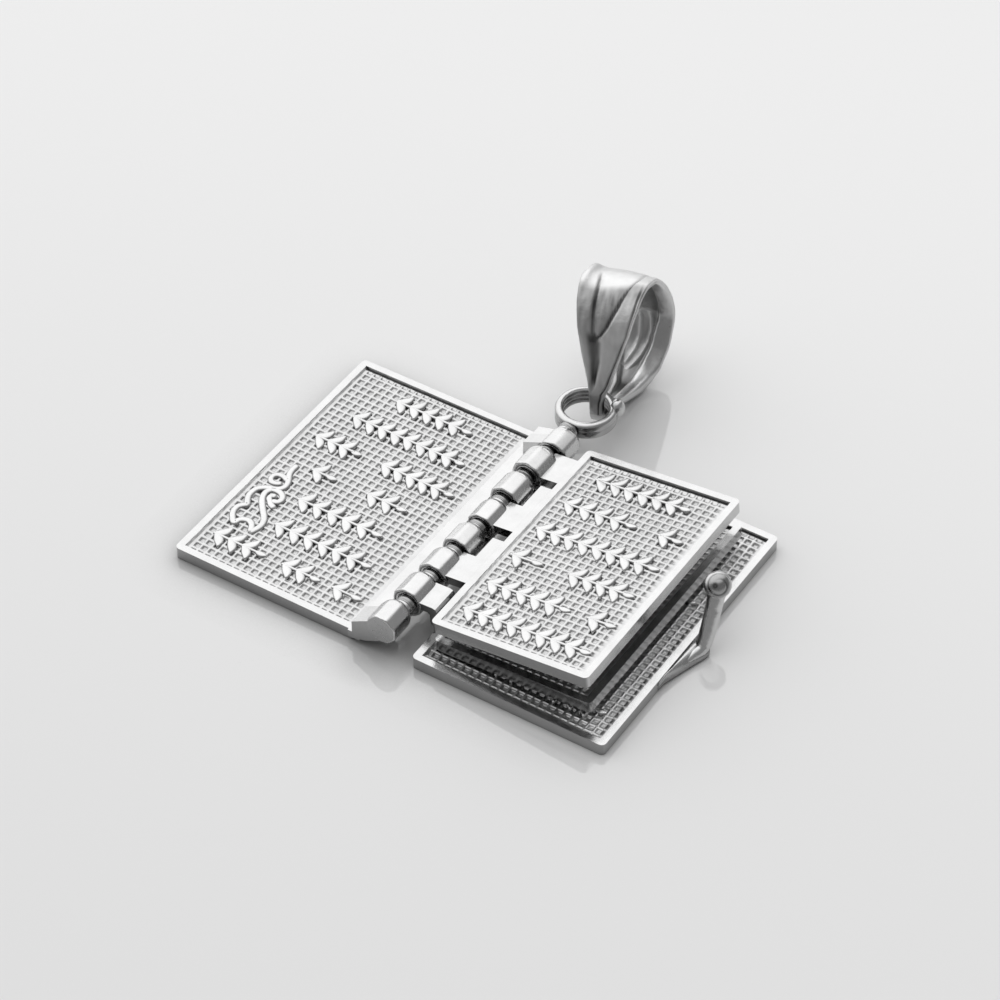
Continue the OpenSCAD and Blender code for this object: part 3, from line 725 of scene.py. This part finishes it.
def outer_rise(x, s, lo, hi):
    """how far the band's outside stands above (+) its plain surface"""
    h = 0.0
    if 13.0 < s < 19.7:
        on = step(13.0, 14.6, s)
        xl, xr = lerp_table(s, LEFT_LINE), lerp_table(s, RIGHT_LINE)
        fade_l = step(15.2, 15.9, s) * (1 - step(18.7, 19.3, s))
        crest = step(13.4, 15.0, s) * (1 - step(16.2, 17.4, s))
        h -= 0.12 * fade_l * math.exp(-((x - xl) / 0.09) ** 2)
        if x < xl:
            h += 0.24 * crest * math.exp(-((x + 1.72) / 0.34) ** 2)
        if xl < x < xr + 0.15:
            mid = (x - xl) / max(xr - xl, 0.05)
            low = 0.20 * step(15.0, 16.4, s) * (1 - step(19.25, 19.55, s))
            crown = 0.07 * (1 - (2 * min(max(mid, 0), 1) - 1) ** 2)
            h -= (low - crown) * step(0.0, 0.10, x - xl) * (1 - step(-0.02, 0.09, x - xr))
        h -= 0.05 * on * (1 - step(19.1, 19.5, s)) * math.exp(-((x - xr + 0.04) / 0.06) ** 2)
    if s > 18.6:
        # hollow below the left petal
        c, w = lerp_table(s, HOLLOW, 1), lerp_table(s, HOLLOW, 2)
        h -= 0.20 * step(18.7, 19.5, s) * (1 - step(21.4, 22.4, s)) * math.exp(-((x - c) / w) ** 2)
    if s > 15.5:
        # line beside the right rim
        xe = hi - lerp_table(s, [(15.5, 0.22), (18.0, 0.14), (21.0, 0.16), (22.3, 0.22), (24.0, 0.26)])
        h -= 0.075 * step(15.6, 16.6, s) * math.exp(-((x - xe) / 0.055) ** 2)
    if 3.0 < s < 13.0:
        # the back keeps two quiet flutes
        for q in (0.33, 0.67):
            h -= 0.06 * step(3.0, 5.0, s) * (1 - step(11.8, 13.0, s)) * math.exp(-(((x - lo) / (hi - lo) - q) / 0.04) ** 2)
    return h


def inner_rise(x, s, lo, hi):
    """how far the band's inside stands above (+) its plain surface"""
    h = 0.0
    if 3.6 < s < 14.4:
        on = step(3.6, 5.4, s) * (1 - step(12.6, 14.4, s))
        b = lerp_table(s, RIM_LINE)
        if x > b:
            v = (x - b) / max(hi - b, 0.05)
            low = 1 - step(6.3, 7.3, s)
            h += 0.24 * on * low * max(1 - abs(2 * v - 1.05) ** 2.6, 0.0) ** 0.5
            h += 0.28 * on * (1 - low) * step(0.0, 0.20, v) * (1 - 0.80 * min(v, 1.0) ** 1.4)
        if x < -b:
            v = (-b - x) / max(-b - lo, 0.05)
            h += 0.30 * on * max(1 - abs(2 * min(v, 1) - 1.0) ** 2.6, 0.0) ** 0.5
        for line, top in ((RIDGE_A, 0.13), (RIDGE_B, 0.09)):
            if line[0][0] < s < line[-1][0]:
                f = step(line[0][0], line[0][0] + 0.5, s) * (1 - step(line[-1][0] - 0.8, line[-1][0], s))
                h += top * f * math.exp(-((x - lerp_table(s, line)) / 0.075) ** 2)
    return h


def bail_painted_shade(x, s, lo, hi, outside):
    """painted shade and highlights on the bail: 0 bright to 1 black"""
    t = 0.0
    # inside of the loop: painted shade, deepest just inside the rim's line, with painted highlights on the two ridges
    # and on the rounded rim
    if not outside:
        t = 0.52
        if 3.6 < s < 14.4:
            b = lerp_table(s, RIM_LINE)
            rim = 0.34 * step(6.0, 6.9, s)
            t = 0.50 + (0.70 - 0.50) * step(b - 0.6, b - 0.2, x)
            for line in (RIDGE_A, RIDGE_B):
                if line[0][0] < s < line[-1][0]:
                    t -= 0.42 * math.exp(-((x - lerp_table(s, line)) / 0.10) ** 2)
            t += (rim - t) * step(b, b + 0.10, x)
        return max(t, 0.0)
    # outside: painted shade along the lines between the petals, in the hollow below the left petal and beside the right
    # rim, with a painted highlight on the right petal
    if 13.0 < s < 19.6:
        xl, xr = lerp_table(s, LEFT_LINE), lerp_table(s, RIGHT_LINE)
        t += 0.42 * step(15.6, 16.6, s) * (1 - step(18.9, 19.3, s)) * math.exp(-((x - xl) / 0.07) ** 2)
        t += (0.75 + 0.2 * step(16.3, 17.0, s)) * math.exp(-((x - xr + 0.03) / (0.07 + 0.04 * step(16.3, 17.0, s))) ** 2) * step(14.5, 16.0, s)
        if xl < x < xr:
            t += 0.12 * step(16.3, 17.2, s) * (0.6 + 1.2 * noise.noise(Vector((x * 9, s * 0.7, 1))))
        if x > xr:
            t -= 0.22 * step(16.8, 17.6, s) * (1 - step(19.0, 19.6, s)) * step(0.0, 0.15, x - xr)
    if s > 18.6:
        c, w = lerp_table(s, HOLLOW, 1), lerp_table(s, HOLLOW, 2)
        t += 0.66 * step(18.9, 19.4, s) * (1 - step(21.4, 22.2, s)) * math.exp(-((x - c) / w) ** 4)
    if s > 15.5:
        xe = hi - lerp_table(s, [(15.5, 0.22), (18.0, 0.14), (21.0, 0.16), (22.3, 0.22), (24.0, 0.26)])
        t += 0.60 * step(16.0, 17.0, s) * math.exp(-((x - xe) / 0.05) ** 2)
    shift = (17.0 - lerp_table(x, CREST)) * step(14.0, 16.0, s) * (1 - step(18.0, 19.5, s))
    t += lerp_table(s + shift, OUT_TONE) * (1 + 0.30 * noise.noise(Vector((x * 4.0, s * 1.6, 4))))
    # small painted highlight where the loop's end turns under
    t -= 0.45 * math.exp(-((x + 0.27) / 0.13) ** 2 - ((s - 23.68) / 0.22) ** 2)
    return min(max(t, 0.0), 1.0)


def bail_mesh():
    per, n_w, thick = 10, 64, 0.42
    curve = [Vector(p) for p in catmull(SIDE, per, closed=True)]
    n = len(curve)
    rot = Euler((0, math.radians(-4), 0)).to_matrix()
    rot = Euler((0, 0, math.radians(9.5))).to_matrix() @ rot
    verts, faces, dark = [], [], []

    def at(x, d, z):
        q = rot @ Vector((x, d, z))
        return H(q.x + 0.32, q.y + 12.82, q.z + 2.02)
    ring = 2 * n_w
    for i, p in enumerate(curve):
        s = i / per
        t = (curve[(i + 1) % n] - curve[i - 1]).normalized()
        inward = Vector((-t.y, t.x))
        u = p.x * math.cos(math.radians(38)) + p.y * math.sin(math.radians(38))
        lo, hi = lerp_table(u, EDGES, 1), lerp_table(u, EDGES, 2)
        lo, hi = lo - lerp_table(s, WIDER, 1), hi + lerp_table(s, WIDER, 2)
        mid = p + inward * (thick / 2)
        for k in range(ring):
            front = k < n_w
            f = k / n_w if front else (ring - k) / n_w
            v = 0.5 - 0.5 * math.cos(math.pi * f)
            x = lo + (hi - lo) * v
            e = max(1 - abs(2 * v - 1) ** 7, 0.0) ** (1 / 7)
            grain = 0.010 * noise.noise(Vector((x * 2.0, s * 1.3, 2.0 if front else 9.0)))
            if front:
                q = mid - inward * (thick / 2 + outer_rise(x, s, lo, hi) * min(e * 1.2, 1.0) + grain) * e
            else:
                q = mid + inward * (thick / 2 + inner_rise(x, s, lo, hi) + grain) * e
            verts.append(at(x, q.x, q.y))
            dark.append(bail_painted_shade(x, s, lo, hi, front))
    for i in range(n):
        for k in range(ring):
            a, b = i * ring + k, i * ring + (k + 1) % ring
            c, d = ((i + 1) % n) * ring + (k + 1) % ring, ((i + 1) % n) * ring + k
            faces.append((a, b, c, d))
    ob = new_object("bail_fluted", verts, faces, M_BAIL, "back_cover", painted_shade=dark)
    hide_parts("bail")
    return ob


bail_mesh()

# ---------------------------------------------------------------- table, light, camera
def floor_material():
    mat = bpy.data.materials.new("table_gloss")
    mat.use_nodes = True
    nt = mat.node_tree
    b = nt.nodes["Principled BSDF"]
    # a shade lighter towards the back, as under one broad light
    tc = nt.nodes.new("ShaderNodeTexCoord")
    dot = nt.nodes.new("ShaderNodeVectorMath")
    dot.operation = "DOT_PRODUCT"
    dot.inputs[1].default_value = (-0.30, 0.95, 0.0)
    nt.links.new(tc.outputs["Object"], dot.inputs[0])
    mr = nt.nodes.new("ShaderNodeMapRange")
    mr.interpolation_type = "SMOOTHSTEP"
    for key, val in (("From Min", -0.05), ("From Max", 0.06), ("To Min", 0.806), ("To Max", 0.956)):
        mr.inputs[key].default_value = val
    nt.links.new(dot.outputs["Value"], mr.inputs["Value"])
    # painted contact shadow close to whatever stands on it, most on the side away from the light
    ao = node(nt, "ShaderNodeAmbientOcclusion", samples=8)
    ao.inputs["Distance"].default_value = 3.2 * MM
    ar = ramp(nt, [(0.15, 0.28), (0.55, 0.48), (0.85, 0.74), (0.98, 1.0)])
    nt.links.new(ao.outputs["AO"], ar.inputs["Fac"])
    mx = nt.nodes.new("ShaderNodeMix")
    mx.data_type, mx.blend_type = "RGBA", "MULTIPLY"
    side = nt.nodes.new("ShaderNodeVectorMath")
    side.operation = "DOT_PRODUCT"
    side.inputs[1].default_value = (-0.80, -0.60, 0.0)
    nt.links.new(tc.outputs["Object"], side.inputs[0])
    sr = nt.nodes.new("ShaderNodeMapRange")
    for key, val in (("From Min", -0.004), ("From Max", 0.016), ("To Min", 0.06), ("To Max", 1.0)):
        sr.inputs[key].default_value = val
    nt.links.new(side.outputs["Value"], sr.inputs["Value"])
    nt.links.new(sr.outputs["Result"], mx.inputs["Factor"])
    nt.links.new(mr.outputs["Result"], mx.inputs["A"])
    nt.links.new(ar.outputs["Color"], mx.inputs["B"])
    nt.links.new(mx.outputs["Result"], b.inputs["Base Color"])
    b.inputs["Roughness"].default_value = 0.045
    b.inputs["IOR"].default_value = 1.85
    return mat


me = bpy.data.meshes.new("table")
me.from_pydata([(-1, -1, 0), (1, -1, 0), (1, 1, 0), (-1, 1, 0)], [], [(0, 1, 2, 3)])
me.materials.append(floor_material())
table = bpy.data.objects.new("table", me)
bpy.context.scene.collection.objects.link(table)
table.location = (0, 0, -0.00002)

AZ, EL, ROLL, DIST, F_PX = 32.7612, 43.4830, -0.1218, 205.775, 3586.1
az, el, roll = (math.radians(v) for v in (AZ, EL, ROLL))
back = Vector((math.sin(az) * math.cos(el), -math.cos(az) * math.cos(el), math.sin(el)))
right = Vector((math.cos(az), math.sin(az), 0))
up = back.cross(right)
r2 = right * math.cos(roll) + up * math.sin(roll)
u2 = up * math.cos(roll) - right * math.sin(roll)
cam_d = bpy.data.cameras.new("camera")
cam_d.sensor_width = 36.0
cam_d.lens = F_PX / 1000 * 36.0
cam_d.clip_start, cam_d.clip_end = 0.001, 10.0
cam = bpy.data.objects.new("camera", cam_d)
bpy.context.scene.collection.objects.link(cam)
cam.matrix_world = Matrix.Translation(H(-1.2153, 4.2795, 0) + back * DIST * MM) @ Matrix((r2, u2, back)).transposed().to_4x4()
bpy.context.scene.camera = cam


world = bpy.data.worlds.new("studio")
bpy.context.scene.world = world
world.use_nodes = True
wn = world.node_tree
wn.nodes["Background"].inputs["Color"].default_value = (1, 1, 1, 1)
w_tc = wn.nodes.new("ShaderNodeTexCoord")
w_dot = wn.nodes.new("ShaderNodeVectorMath")
w_dot.operation = "DOT_PRODUCT"
w_dot.inputs[1].default_value = Vector((-0.60, 0.28, 0.75)).normalized()
wn.links.new(w_tc.outputs["Generated"], w_dot.inputs[0])
w_map = wn.nodes.new("ShaderNodeMapRange")
w_map.interpolation_type = "SMOOTHSTEP"
w_map.inputs["From Min"].default_value = 0.15
w_map.inputs["From Max"].default_value = 0.90
w_map.inputs["To Min"].default_value = 0.26
w_map.inputs["To Max"].default_value = 1.33
wn.links.new(w_dot.outputs["Value"], w_map.inputs["Value"])
wn.links.new(w_map.outputs["Result"], wn.nodes["Background"].inputs["Strength"])
vs = bpy.context.scene.view_settings
vs.view_transform = "Standard"
vs.look = "None"
vs.exposure = 0.0
vs.gamma = 1.0
